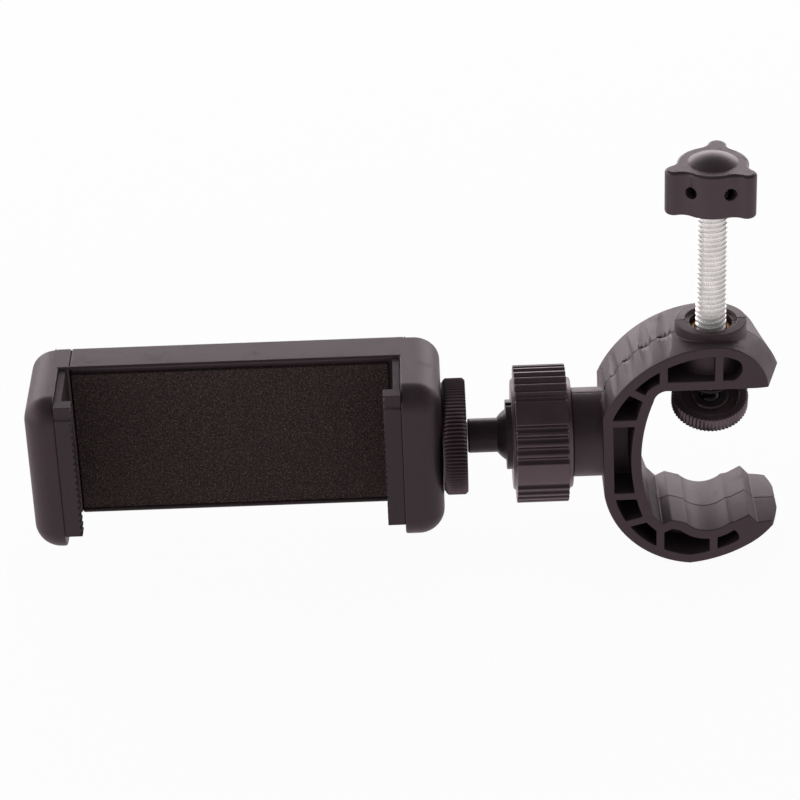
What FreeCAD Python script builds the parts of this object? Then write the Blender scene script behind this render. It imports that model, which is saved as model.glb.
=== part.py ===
import FreeCAD, Part
import math
import os

# Phone clip mount: a sprung phone clip on a ball head, carried by a C-clamp.
# Origin: centre of the clamp's throat, where the clamp screw's axis (Z) crosses the ball stud's axis (X).
# +X points from the clip towards the clamp's open side, +Y points to the back, +Z points up to the knob.
# All lengths are in millimetres and all angles in degrees.

V = FreeCAD.Vector
X_AXIS = V(1, 0, 0)
Y_AXIS = V(0, 1, 0)
Z_AXIS = V(0, 0, 1)

# Clearances
RUN_GAP = 0.05
SLIDE_GAP = 0.25
SOFT_GAP = 0.1
SOCKET_GAP = 0.08

# C-clamp moulding, seen from the front in the X-Z plane
CLAMP_DEPTH = 18.2
SPINE_OUTER_X = -20.7
SPINE_INNER_X = -13.65
SPINE_FLAT_TOP_Z = 8.0
SPINE_FLAT_LOW_Z = -9.1
TOP_ARC_R = 23.2
TOP_ARC_CENTRE = (0.5, -0.75)
NOSE_ARC_R = 9.6
NOSE_CROWN_R = 12.9
UNDERSIDE_Z = 13.45
UNDERSIDE_FILLET = 3.0
UNDERSIDE_FILLET_BULGE = 0.55
NOSE_X = 13.2
NOSE_ROUND_START_X = 7.0
NOSE_PLAN_MID = (9.6, 8.9)
NOSE_CORNER = (11.7, 8.3)
LOWER_ARC_MID = (-16.0, -19.0)
LOWER_BOTTOM = (-4.2, -25.0)
LOWER_ARC_RIGHT_MID = (6.6, -21.5)
LOWER_NOSE = (12.9, -16.3)
INNER_BOW_Z = -1.25
INNER_TOP = (-11.35, 11.3)
INNER_LOW = (-11.35, -14.0)
OUTLINE_WALL = 1.95
POCKET_END_X = 5.2
POCKET_END_R = 2.4
POCKET_END_Z = (17.7, -19.8)
POCKET_DEPTH = 7.5
RIB_T = 1.5

# Cradle of the lower jaw, from the spine to the nose: (x, z)
CRADLE_VALLEY = (-9.6, -15.9)
CRADLE_LEFT_RIDGE = (-7.8, -15.0)
CRADLE_LEFT_STEP = (-5.0, -15.9)
CRADLE_BOTTOM = (-1.0, -17.7)
CRADLE_RIGHT_STEP = (3.2, -16.1)
CRADLE_RIGHT_STEP_END = (4.4, -15.9)
CRADLE_RIGHT_RIDGE = (7.0, -14.4)
CRADLE_SHOULDER = (8.7, -16.3)

# Ribs between the pockets: (x, z, angle of the rib from the X axis)
RIBS = (
    (-17.2, 6.7, 0.0),
    (-14.6, 12.9, 150.0),
    (-9.5, 16.8, 90.0),
    (0.85, 17.9, 90.0),
    (-17.2, -9.4, 0.0),
    (-14.6, -15.2, 15.0),
    (-9.95, -18.5, 90.0),
    (0.3, -20.5, 90.0),
)
RIB_REACH = 12.0

# Grip scallops on the clamp's upper left shoulder: angles on the top arc
SCALLOP_R = 2.8
SCALLOP_SINK = 0.4
SCALLOP_FIRST = 113.5
SCALLOP_STEP = 10.2
SCALLOPS = 5
SCALLOP_RUN_OUT = 0.7

# Boss, thread insert and screw
BOSS_R = 6.75
BOSS_TOP_Z = 23.7
BOSS_STEP_R = 4.9
BOSS_STEP_DEPTH = 0.5
INSERT_R = 4.0
INSERT_TOP_DROP = 1.6
SCREW_R = 2.9
SCREW_HEAD_AF = 10.0
SCREW_HEAD_H = 4.0
SHOULDER_Z = 9.8
TIP_NECK_R = 1.2
TIP_BALL_R = 2.3
TIP_BALL_Z = 6.1
WASHER_R = 3.3
WASHER_T = 0.6

# Three-lobe knob
KNOB_BOTTOM_Z = 47.7
KNOB_H = 8.8
KNOB_HUB_R = 6.6
KNOB_LOBE_R = 1.75
KNOB_TIP_R = 9.45
KNOB_BLEND_R = 2.6
KNOB_LOBES = 3
KNOB_FIRST_LOBE = 79.0
KNOB_EDGE_R = 0.6
KNOB_DOME_R = 4.6
KNOB_DOME_H = 1.5
KNOB_HOLE_R = 1.15
KNOB_HOLE_DEPTH = 2.6
KNOB_HOLE_DROP = 3.9
KNOB_HOLE_ANGLES = (294.0, 228.0, 358.0)
HEAD_SEAT_H = 2.0

# Pressure pad, tilted at rest about X on the screw's ball tip
PAD_R = 7.3
PAD_H = 3.2
PAD_TILT = 18.0
PAD_TOP_ABOVE_BALL = 2.0
PAD_DISH_R = 5.5
PAD_DISH_DEPTH = 0.85
PAD_HUB_R = 3.7
PAD_RIBS = 60
PAD_RIB_DEPTH = 0.22
RETAINER_R = 3.0
RETAINER_BORE_R = 2.0
RETAINER_T = 0.5

# Stem, ball socket and lock collar, along the stud's axis
STEM_R = 8.55
STEM_END_X = -26.4
SLEEVE_R = 8.3
SLEEVE_END_X = -34.4
SOCKET_R = 6.45
SOCKET_FLOOR_X = -28.6
BALL_X = -36.0
BALL_R = 5.75
NECK_R = 3.3
NECK_LENGTH = 10.35
SEAT_END_X = -33.4
SEAT_PORT_R = 2.5
RING_END_X = -39.0
RING_MOUTH_R = 6.7
RING_SPLIT = 0.9
RING_SPLIT_START_X = -36.6
COLLAR_END_X = -26.5
COLLAR_MOUTH_X = -37.9
COLLAR_BODY_LEFT_X = -37.3
COLLAR_BODY_RIGHT_X = -27.4
COLLAR_R = 13.2
COLLAR_SHOULDER_R = 10.9
COLLAR_FLUTES = 40
COLLAR_FLUTE_R = 0.75
COLLAR_FLUTE_SINK = 0.5
COLLAR_FIRST_FLUTE = 1.7
COLLAR_FLAT_ANGLES = (42.2, 96.2, 222.2, 276.2)

# Lock disc and stud
STUD_R = 3.1
STUD_GRIP = 6.2
STUD_SHANK_R = 2.0
STUD_SHANK_END_X = -35.0
DISC_NECK_GAP = 0.2
DISC_CLIP_GAP = 0.35
DISC_T = 4.3
DISC_R = 11.2
DISC_BEVEL = 0.5
DISC_KNURLS = 72
DISC_KNURL_DEPTH = 0.35

# Phone clip
CLIP_H = 32.7
CLIP_FRONT_Y = -11.5
CLIP_BACK_Y = 10.9
FIXED_T = 7.6
SLIDING_T = 6.0
JAW_SPAN = 65.0
JAW_CORNER_R = 5.0
JAW_EDGE_R = 4.5
JAW_BACK_EDGE_R = 0.8
CHANNEL_FRONT_Y = 3.3
CHANNEL_JAW_GAP = 2.0
CHANNEL_WALL = 1.3
CHANNEL_LIP = 0.8
FRONT_WALL = 1.0
FOAM_RECESS = 1.2
FOAM_T = 0.8
FOAM_CHANNEL_GAP = 0.2
FOAM_JAW_GAP = 2.2
FOAM_TOP_GAP = 1.1
COVER_T = 1.3
COVER_RIM = 1.4
TONGUE_T = 3.0
TONGUE_JAW_GAP = 8.2
JAW_PAD_T = 3.3
JAW_PAD_WALL = 1.4
JAW_PAD_LIP = 3.0
JAW_PAD_TOP_DROP = 0.6
JAW_PAD_LOW_DROP = 3.8
JAW_PAD_FRONT_DROP = 0.2
JAW_PAD_TOOTH_PITCH = 1.35
JAW_PAD_TOOTH_DEPTH = 0.45
JAW_PAD_STEP = 0.35
INSERT_LENGTH = 6.4
STUD_INSERT_R = 4.6
STUD_INSERT_FLANGE_R = 5.6
STUD_INSERT_FLANGE_T = 0.8

# Springs, their pins and the cover's screws
SPRING_Z_SHARE = 0.2025
SPRING_R = 1.1
SPRING_WIRE = 0.3
SPRING_SLOT = 3.0
PIN_BAR = 0.9
SPRING_JAW_PIN_REACH = 24.5
SPRING_FRAME_PIN_REACH = 5.1
PIN_R = 0.7
COVER_SCREW_R = 0.9
COVER_SCREW_HEAD_R = 1.7
COVER_SCREW_HEAD_T = 0.7
COVER_SCREW_INSET_X = 4.0
COVER_SCREW_INSET_Z = 2.6
COVER_BOSS_R = 1.9

# Values that follow from the sizes above
HALF_DEPTH = CLAMP_DEPTH / 2
CLIP_TOP_Z = CLIP_H / 2
NECK_END_X = BALL_X - NECK_LENGTH
DISC_LEFT_X = NECK_END_X - DISC_NECK_GAP - DISC_T
FIXED_OUTER_X = DISC_LEFT_X - DISC_CLIP_GAP
STUD_END_X = FIXED_OUTER_X - STUD_GRIP
FIXED_INNER_X = FIXED_OUTER_X - FIXED_T
SLIDING_INNER_X = FIXED_INNER_X - JAW_SPAN
SLIDING_OUTER_X = SLIDING_INNER_X - SLIDING_T
CHANNEL_END_X = SLIDING_INNER_X + CHANNEL_JAW_GAP
FOAM_LEFT_X = CHANNEL_END_X + FOAM_CHANNEL_GAP
FOAM_RIGHT_X = FIXED_INNER_X - FOAM_JAW_GAP
TONGUE_END_X = FIXED_INNER_X - TONGUE_JAW_GAP
SPRING_JAW_PIN_X = SLIDING_INNER_X + SPRING_JAW_PIN_REACH
SPRING_FRAME_PIN_X = FIXED_INNER_X - SPRING_FRAME_PIN_REACH
CHANNEL_IN_FRONT_Y = CHANNEL_FRONT_Y + FOAM_RECESS + FRONT_WALL
COVER_FRONT_Y = CLIP_BACK_Y - COVER_T
TONGUE_Y = (CHANNEL_IN_FRONT_Y + COVER_FRONT_Y) / 2
CHANNEL_IN_Z = CLIP_TOP_Z - CHANNEL_WALL
SPRING_Z = CLIP_H * SPRING_Z_SHARE
KNOB_TOP_Z = KNOB_BOTTOM_Z + KNOB_H
HEAD_Z = KNOB_BOTTOM_Z + HEAD_SEAT_H
INSERT_TOP_Z = BOSS_TOP_Z - INSERT_TOP_DROP


def cylinder_x(radius, low_x, high_x, y=0.0, z=0.0):
    return Part.makeCylinder(radius, high_x - low_x, V(low_x, y, z), X_AXIS)


def cylinder_y(radius, low_y, high_y, x=0.0, z=0.0):
    return Part.makeCylinder(radius, high_y - low_y, V(x, low_y, z), Y_AXIS)


def cylinder_z(radius, low_z, high_z, x=0.0, y=0.0):
    return Part.makeCylinder(radius, high_z - low_z, V(x, y, low_z), Z_AXIS)


def block(low, high):
    size = [high[i] - low[i] for i in range(3)]
    return Part.makeBox(size[0], size[1], size[2], V(*low))


def point_xz(place):
    return V(place[0], 0, place[1])


def on_circle(centre, radius, degrees):
    turn = math.radians(degrees)
    return (centre[0] + radius * math.cos(turn), centre[1] + radius * math.sin(turn))


def line(start, end):
    return Part.LineSegment(start, end).toShape()


def arc(start, middle, end):
    return Part.Arc(start, middle, end).toShape()


def turned_x(stations):
    """Solid turned about the X axis from (x, radius) stations listed along the outline."""
    points = [V(x, 0, radius) for x, radius in stations]
    outline = Part.makePolygon(points + [points[0]])
    return Part.Face(outline).revolve(V(0, 0, 0), X_AXIS, 360)


def edges_along(shape, axis, test):
    """Straight edges parallel to an axis whose middle point passes the test."""
    found = []
    for edge in shape.Edges:
        if len(edge.Vertexes) != 2 or not isinstance(edge.Curve, Part.Line):
            continue
        direction = edge.Vertexes[1].Point - edge.Vertexes[0].Point
        if direction.normalize().cross(axis).Length < 1e-6 and test(edge.CenterOfMass):
            found.append(edge)
    return found


def ring_of_cuts(shape, cutter, axis, angles):
    """Shape less one turned copy of the cutter at each angle about an axis through the origin."""
    copies = []
    for angle in angles:
        copy = cutter.copy()
        copy.rotate(V(0, 0, 0), axis, angle)
        copies.append(copy)
    return shape.cut(Part.makeCompound(copies))


def upper_outline():
    """Outer edge of the upper arm, from the spine's flat over the top to the nose."""
    centre = TOP_ARC_CENTRE
    flat_top = (SPINE_OUTER_X, SPINE_FLAT_TOP_Z)
    start_angle = math.degrees(math.atan2(flat_top[1] - centre[1], flat_top[0] - centre[0]))
    start = on_circle(centre, TOP_ARC_R, start_angle)
    middle = on_circle(centre, TOP_ARC_R, (start_angle + 90) / 2)
    top = on_circle(centre, TOP_ARC_R, 90)
    nose_centre = (top[0], top[1] - NOSE_ARC_R)
    drop = UNDERSIDE_Z - nose_centre[1]
    end_angle = math.degrees(math.asin(drop / NOSE_ARC_R))
    nose_middle = on_circle(nose_centre, NOSE_ARC_R, (90 + end_angle) / 2)
    nose_end = on_circle(nose_centre, NOSE_ARC_R, end_angle)
    edges = [
        line(point_xz((SPINE_OUTER_X, SPINE_FLAT_LOW_Z)), point_xz(start)),
        arc(point_xz(start), point_xz(middle), point_xz(top)),
        arc(point_xz(top), point_xz(nose_middle), point_xz(nose_end)),
    ]
    return edges, nose_end


def inner_outline(start):
    """Inner edge of the C, from the upper nose along the underside, spine and cradle to the lower nose."""
    corner_x = INNER_TOP[0] + UNDERSIDE_FILLET
    fillet_end = INNER_TOP
    fillet_start = (corner_x, UNDERSIDE_Z)
    bulge = UNDERSIDE_FILLET_BULGE
    fillet_middle = ((corner_x + INNER_TOP[0]) / 2 - bulge, (UNDERSIDE_Z + INNER_TOP[1]) / 2 + bulge)
    corners = [
        INNER_LOW,
        CRADLE_VALLEY,
        CRADLE_LEFT_RIDGE,
        CRADLE_LEFT_STEP,
    ]
    edges = [
        line(point_xz(start), point_xz(fillet_start)),
        arc(point_xz(fillet_start), point_xz(fillet_middle), point_xz(fillet_end)),
        arc(point_xz(fillet_end), V(SPINE_INNER_X, 0, INNER_BOW_Z), point_xz(INNER_LOW)),
    ]
    for first, second in zip(corners, corners[1:]):
        edges.append(line(point_xz(first), point_xz(second)))
    edges.append(arc(point_xz(CRADLE_LEFT_STEP), point_xz(CRADLE_BOTTOM), point_xz(CRADLE_RIGHT_STEP)))
    rest = [CRADLE_RIGHT_STEP, CRADLE_RIGHT_STEP_END, CRADLE_RIGHT_RIDGE, CRADLE_SHOULDER, LOWER_NOSE]
    for first, second in zip(rest, rest[1:]):
        edges.append(line(point_xz(first), point_xz(second)))
    return edges


def lower_outline():
    """Outer edge of the lower jaw, from its nose under the bottom to the spine's flat."""
    flat_low = (SPINE_OUTER_X, SPINE_FLAT_LOW_Z)
    return [
        arc(point_xz(LOWER_NOSE), point_xz(LOWER_ARC_RIGHT_MID), point_xz(LOWER_BOTTOM)),
        arc(point_xz(LOWER_BOTTOM), point_xz(LOWER_ARC_MID), point_xz(flat_low)),
    ]


def clamp_profile():
    upper, nose_end = upper_outline()
    return Part.Wire(upper + inner_outline(nose_end) + lower_outline())


def nose_crown():
    """Crown of the upper nose: fuller in the middle of the depth, where the two mould halves meet."""
    edges, nose_end = upper_outline()
    top = edges[1].Vertexes[-1].Point
    foot = V(top.x, 0, UNDERSIDE_Z)
    centre = (top.x, top.z - NOSE_CROWN_R)
    end_angle = math.degrees(math.asin((UNDERSIDE_Z - centre[1]) / NOSE_CROWN_R))
    middle = on_circle(centre, NOSE_CROWN_R, (90 + end_angle) / 2)
    end = point_xz(on_circle(centre, NOSE_CROWN_R, end_angle))
    fullest = Part.Wire([arc(top, point_xz(middle), end), line(end, foot), line(foot, top)])
    face_edge = Part.Wire([edges[2], line(point_xz(nose_end), foot), line(foot, top)])
    halves = []
    for side in (-1, 1):
        section = face_edge.copy()
        section.translate(V(0, side * HALF_DEPTH, 0))
        halves.append(Part.makeLoft([section, fullest], True, True))
    return halves[0].fuse(halves[1])


def clamp_plan():
    """Plan outline of the clamp: parallel sides that round in towards the noses."""
    left = SPINE_OUTER_X - 1
    corner_x, corner_y = NOSE_CORNER
    front = V(NOSE_ROUND_START_X, -HALF_DEPTH, 0)
    back = V(NOSE_ROUND_START_X, HALF_DEPTH, 0)
    front_corner = V(corner_x, -corner_y, 0)
    back_corner = V(corner_x, corner_y, 0)
    front_mid = V(NOSE_PLAN_MID[0], -NOSE_PLAN_MID[1], 0)
    back_mid = V(NOSE_PLAN_MID[0], NOSE_PLAN_MID[1], 0)
    edges = [
        line(V(left, -HALF_DEPTH, 0), front),
        arc(front, front_mid, front_corner),
        arc(front_corner, V(NOSE_X, 0, 0), back_corner),
        arc(back_corner, back_mid, back),
        line(back, V(left, HALF_DEPTH, 0)),
        line(V(left, HALF_DEPTH, 0), V(left, -HALF_DEPTH, 0)),
    ]
    plan = Part.Face(Part.Wire(edges))
    plan.translate(V(0, 0, LOWER_BOTTOM[1] - 1))
    return plan.extrude(V(0, 0, BOSS_TOP_Z - LOWER_BOTTOM[1] + 1))


def clamp_pockets(profile):
    """Pockets of both faces: the profile set in by the wall, less the ribs and the solid noses."""
    inset = profile.makeOffset2D(-OUTLINE_WALL)
    pockets = []
    for side in (-1, 1):
        floor_y = side * (HALF_DEPTH - POCKET_DEPTH)
        for wire in inset.Wires:
            area = Part.Face(wire)
            area.translate(V(0, floor_y, 0))
            pockets.append(area.extrude(V(0, side * (POCKET_DEPTH + 1), 0)))
    both = pockets[0].fuse(pockets[1:])
    keep_x = POCKET_END_X - POCKET_END_R
    keep = block((SPINE_OUTER_X, -CLAMP_DEPTH, LOWER_BOTTOM[1]), (keep_x, CLAMP_DEPTH, BOSS_TOP_Z))
    ends = [cylinder_y(POCKET_END_R, -CLAMP_DEPTH, CLAMP_DEPTH, keep_x, z) for z in POCKET_END_Z]
    both = both.common(keep.fuse(ends))
    ribs = []
    for x, z, angle in RIBS:
        rib = Part.makeBox(RIB_REACH, 2 * CLAMP_DEPTH, RIB_T, V(-RIB_REACH / 2, -CLAMP_DEPTH, -RIB_T / 2))
        rib.rotate(V(0, 0, 0), Y_AXIS, -angle)
        rib.translate(V(x, 0, z))
        ribs.append(rib)
    return both.cut(Part.makeCompound(ribs))


def grip_scallops():
    """Shallow grip hollows that run out before the clamp's faces: rings bent away from the shoulder."""
    half_length = HALF_DEPTH - SCALLOP_RUN_OUT
    bend_r = (half_length ** 2 + SCALLOP_SINK ** 2) / (2 * SCALLOP_SINK)
    cutters = []
    for index in range(SCALLOPS):
        angle = SCALLOP_FIRST + index * SCALLOP_STEP
        reach = TOP_ARC_R + SCALLOP_R - SCALLOP_SINK + bend_r
        centre = point_xz(on_circle(TOP_ARC_CENTRE, reach, angle))
        tangent = point_xz(on_circle((0, 0), 1, angle + 90))
        cutters.append(Part.makeTorus(bend_r, SCALLOP_R, centre, tangent))
    return Part.makeCompound(cutters)


def clamp_body():
    profile = clamp_profile()
    frame = Part.Face(profile).extrude(V(0, CLAMP_DEPTH, 0))
    frame.translate(V(0, -HALF_DEPTH, 0))
    frame = frame.fuse(nose_crown()).common(clamp_plan())
    frame = frame.cut(clamp_pockets(profile)).cut(grip_scallops())
    boss = cylinder_z(BOSS_R, UNDERSIDE_Z, BOSS_TOP_Z)
    stem = cylinder_x(STEM_R, STEM_END_X, SPINE_OUTER_X + 0.5)
    sleeve = cylinder_x(SLEEVE_R, SLEEVE_END_X, SPINE_OUTER_X + 0.5)
    body = frame.fuse([boss, stem, sleeve])
    step = cylinder_z(BOSS_STEP_R, BOSS_TOP_Z - BOSS_STEP_DEPTH, BOSS_TOP_Z + 1)
    bore = cylinder_z(INSERT_R, UNDERSIDE_Z - 1, BOSS_TOP_Z + 1)
    socket = cylinder_x(SOCKET_R, SLEEVE_END_X - 1, SOCKET_FLOOR_X)
    return body.cut([step, bore, socket]).removeSplitter()


def clamp_insert():
    outer = cylinder_z(INSERT_R, UNDERSIDE_Z, INSERT_TOP_Z)
    return outer.cut(cylinder_z(SCREW_R + RUN_GAP, UNDERSIDE_Z - 1, INSERT_TOP_Z + 1))


def hexagon_head():
    radius = SCREW_HEAD_AF / math.sqrt(3)
    corners = [V(*on_circle((0, 0), radius, 60 * i), HEAD_Z) for i in range(6)]
    outline = Part.makePolygon(corners + [corners[0]])
    return Part.Face(outline).extrude(V(0, 0, SCREW_HEAD_H))


def clamp_screw():
    shank = cylinder_z(SCREW_R, SHOULDER_Z, HEAD_Z)
    neck = cylinder_z(TIP_NECK_R, TIP_BALL_Z, SHOULDER_Z)
    ball = Part.makeSphere(TIP_BALL_R, V(0, 0, TIP_BALL_Z))
    return shank.fuse([neck, ball, hexagon_head()]).removeSplitter()


def tip_washer():
    ring = cylinder_z(WASHER_R, SHOULDER_Z - WASHER_T, SHOULDER_Z)
    return ring.cut(cylinder_z(TIP_NECK_R + RUN_GAP, SHOULDER_Z - WASHER_T - 1, SHOULDER_Z + 1))


def knob_lobes():
    """Hub with three lobes, their flanks blended into the hub."""
    body = cylinder_z(KNOB_HUB_R, KNOB_BOTTOM_Z, KNOB_TOP_Z)
    tip_centre = KNOB_TIP_R - KNOB_LOBE_R
    parts = []
    for index in range(KNOB_LOBES):
        web = Part.makeBox(tip_centre, 2 * KNOB_LOBE_R, KNOB_H, V(0, -KNOB_LOBE_R, KNOB_BOTTOM_Z))
        lobe = web.fuse(cylinder_z(KNOB_LOBE_R, KNOB_BOTTOM_Z, KNOB_TOP_Z, tip_centre))
        lobe.rotate(V(0, 0, 0), Z_AXIS, KNOB_FIRST_LOBE + index * 360 / KNOB_LOBES)
        parts.append(lobe)
    body = body.fuse(parts).removeSplitter()
    flank_r = math.hypot(KNOB_LOBE_R, math.sqrt(KNOB_HUB_R ** 2 - KNOB_LOBE_R ** 2))

    def at_flank(middle):
        return abs(math.hypot(middle.x, middle.y) - flank_r) < 0.05

    body = body.makeFillet(KNOB_BLEND_R, edges_along(body, Z_AXIS, at_flank))
    rims = [e for e in body.Edges if abs(e.BoundBox.ZMin - e.BoundBox.ZMax) < 1e-6]
    return body.makeFillet(KNOB_EDGE_R, rims)


def knob():
    body = knob_lobes()
    dome_r = (KNOB_DOME_R ** 2 + KNOB_DOME_H ** 2) / (2 * KNOB_DOME_H)
    dome = Part.makeSphere(dome_r, V(0, 0, KNOB_TOP_Z + KNOB_DOME_H - dome_r))
    cap_region = cylinder_z(KNOB_DOME_R + 1, KNOB_TOP_Z - 0.2, KNOB_TOP_Z + KNOB_DOME_H + 1)
    body = body.fuse(dome.common(cap_region))
    holes = []
    hole_z = KNOB_TOP_Z - KNOB_HOLE_DROP
    for angle in KNOB_HOLE_ANGLES:
        hole = cylinder_x(KNOB_HOLE_R, KNOB_HUB_R - KNOB_HOLE_DEPTH, KNOB_TIP_R, 0, hole_z)
        hole.rotate(V(0, 0, 0), Z_AXIS, angle)
        holes.append(hole)
    shank = cylinder_z(SCREW_R, KNOB_BOTTOM_Z - 1, HEAD_Z)
    return body.cut([hexagon_head(), shank] + holes).removeSplitter()


def tilt_pad(shape):
    shape.rotate(V(0, 0, TIP_BALL_Z), X_AXIS, PAD_TILT)
    return shape


def pressure_pad():
    top = TIP_BALL_Z + PAD_TOP_ABOVE_BALL
    bottom = top - PAD_H
    body = cylinder_z(PAD_R, bottom, top)
    rims = [e for e in body.Edges if abs(e.BoundBox.ZMin - e.BoundBox.ZMax) < 1e-6]
    body = body.makeChamfer(PAD_RIB_DEPTH, rims)
    groove = cylinder_z(PAD_RIB_DEPTH, bottom - 1, top + 1, PAD_R)
    body = ring_of_cuts(body, groove, Z_AXIS, [i * 360 / PAD_RIBS for i in range(PAD_RIBS)])
    dish = cylinder_z(PAD_DISH_R, top - PAD_DISH_DEPTH, top + 1)
    hub = cylinder_z(PAD_HUB_R, bottom, top - PAD_DISH_DEPTH + RETAINER_T)
    body = body.cut(dish).fuse(hub)
    seat = cylinder_z(RETAINER_R, top - PAD_DISH_DEPTH, top + 1)
    mouth = cylinder_z(TIP_BALL_R + SOCKET_GAP, TIP_BALL_Z, top + 1)
    ball = Part.makeSphere(TIP_BALL_R + SOCKET_GAP, V(0, 0, TIP_BALL_Z))
    body = body.cut([seat, mouth, ball]).removeSplitter()
    return tilt_pad(body)


def pad_retainer():
    low = TIP_BALL_Z + PAD_TOP_ABOVE_BALL - PAD_DISH_DEPTH
    ring = cylinder_z(RETAINER_R, low, low + RETAINER_T)
    ring = ring.cut(cylinder_z(RETAINER_BORE_R, low - 1, low + 2))
    ring = ring.cut(Part.makeSphere(TIP_BALL_R + SOCKET_GAP, V(0, 0, TIP_BALL_Z)))
    return tilt_pad(ring)


def ball_seat():
    cup = cylinder_x(SOCKET_R, SEAT_END_X, SOCKET_FLOOR_X)
    ball = Part.makeSphere(BALL_R + SOCKET_GAP, V(BALL_X, 0, 0))
    return cup.cut([ball, cylinder_x(SEAT_PORT_R, SEAT_END_X, SOCKET_FLOOR_X + 1)])


def ring_cone(extra):
    """Solid inside the grip ring's tapered outside, widened by extra."""
    base_x = SLEEVE_END_X - SOCKET_GAP
    return turned_x([
        (RING_END_X - 1, 0),
        (RING_END_X - 1, RING_MOUTH_R + extra),
        (COLLAR_MOUTH_X, RING_MOUTH_R + extra),
        (base_x, SLEEVE_R + extra - SOCKET_GAP),
        (base_x, 0),
    ])


def grip_ring():
    solid = ring_cone(0).common(cylinder_x(SLEEVE_R, RING_END_X, SLEEVE_END_X))
    ball = Part.makeSphere(BALL_R + SOCKET_GAP, V(BALL_X, 0, 0))
    slot = block((RING_END_X - 1, -RING_SPLIT / 2, -STEM_R), (RING_SPLIT_START_X, RING_SPLIT / 2, STEM_R))
    bore = cylinder_x(math.sqrt(BALL_R ** 2 - (BALL_X - SLEEVE_END_X) ** 2), BALL_X, SLEEVE_END_X)
    return solid.cut([ball, bore, slot])


def collar_angles():
    """Flute angles all round, less those next to the smooth flats."""
    step = 360 / COLLAR_FLUTES
    angles = [COLLAR_FIRST_FLUTE + i * step for i in range(COLLAR_FLUTES)]

    def on_flat(angle):
        return any(abs((angle - flat + 180) % 360 - 180) < step * 0.6 for flat in COLLAR_FLAT_ANGLES)

    return [angle for angle in angles if not on_flat(angle)]


def lock_collar():
    chamfer = COLLAR_FLUTE_SINK
    shell = turned_x([
        (COLLAR_MOUTH_X, 0),
        (COLLAR_MOUTH_X, COLLAR_SHOULDER_R - chamfer),
        (COLLAR_BODY_LEFT_X, COLLAR_SHOULDER_R),
        (COLLAR_BODY_LEFT_X, COLLAR_R),
        (COLLAR_BODY_RIGHT_X, COLLAR_R),
        (COLLAR_BODY_RIGHT_X, COLLAR_SHOULDER_R),
        (COLLAR_END_X, COLLAR_SHOULDER_R - chamfer),
        (COLLAR_END_X, 0),
    ])
    reach = COLLAR_FLUTE_R - COLLAR_FLUTE_SINK
    flute = cylinder_x(COLLAR_FLUTE_R, COLLAR_BODY_LEFT_X - 1, COLLAR_BODY_RIGHT_X + 1, 0, COLLAR_R + reach)
    shell = ring_of_cuts(shell, flute, X_AXIS, collar_angles())
    bore = cylinder_x(SLEEVE_R + SOCKET_GAP, SLEEVE_END_X - SOCKET_GAP, COLLAR_END_X + 1)
    return shell.cut([bore, ring_cone(SOCKET_GAP)])


def ball_stud():
    ball = Part.makeSphere(BALL_R, V(BALL_X, 0, 0))
    neck = cylinder_x(NECK_R, NECK_END_X, BALL_X)
    body = ball.fuse(neck).removeSplitter()
    end = [e for e in body.Edges if abs(e.BoundBox.XMax - NECK_END_X) < 1e-4]
    body = body.makeChamfer(DISC_BEVEL / 2, end)
    return body.cut(cylinder_x(STUD_SHANK_R, NECK_END_X - 1, STUD_SHANK_END_X))


def threaded_stud():
    thread = cylinder_x(STUD_R, STUD_END_X, NECK_END_X)
    tip = [e for e in thread.Edges if abs(e.BoundBox.XMax - STUD_END_X) < 1e-4]
    thread = thread.makeChamfer(DISC_BEVEL, tip)
    return thread.fuse(cylinder_x(STUD_SHANK_R, NECK_END_X, STUD_SHANK_END_X)).removeSplitter()


def lock_disc():
    right = DISC_LEFT_X + DISC_T
    body = turned_x([
        (DISC_LEFT_X, 0),
        (DISC_LEFT_X, DISC_R - DISC_BEVEL),
        (DISC_LEFT_X + DISC_BEVEL, DISC_R),
        (right - DISC_BEVEL, DISC_R),
        (right, DISC_R - DISC_BEVEL),
        (right, 0),
    ])
    groove = cylinder_x(DISC_KNURL_DEPTH, DISC_LEFT_X - 1, right + 1, 0, DISC_R)
    body = ring_of_cuts(body, groove, X_AXIS, [i * 360 / DISC_KNURLS for i in range(DISC_KNURLS)])
    return body.cut(cylinder_x(STUD_R + RUN_GAP, DISC_LEFT_X - 1, right + 1))


def jaw_shell(outer_x, inner_x):
    """Upright jaw with round outer corners; the face at inner_x stays square."""
    low_x, high_x = min(outer_x, inner_x), max(outer_x, inner_x)
    shell = block((low_x, CLIP_FRONT_Y, -CLIP_TOP_Z), (high_x, CLIP_BACK_Y, CLIP_TOP_Z))
    corners = edges_along(shell, Y_AXIS, lambda middle: abs(middle.x - outer_x) < 1e-4)
    shell = shell.makeFillet(JAW_CORNER_R, corners)

    def rim(shape, y):
        found = []
        for edge in shape.Edges:
            box = edge.BoundBox
            on_face = abs(box.YMin - y) < 1e-4 and abs(box.YMax - y) < 1e-4
            inner = abs(box.XMin - inner_x) < 1e-4 and abs(box.XMax - inner_x) < 1e-4
            if on_face and not inner:
                found.append(edge)
        return found

    shell = shell.makeFillet(JAW_EDGE_R, rim(shell, CLIP_FRONT_Y))
    return shell.makeFillet(JAW_BACK_EDGE_R, rim(shell, CLIP_BACK_Y))


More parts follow.
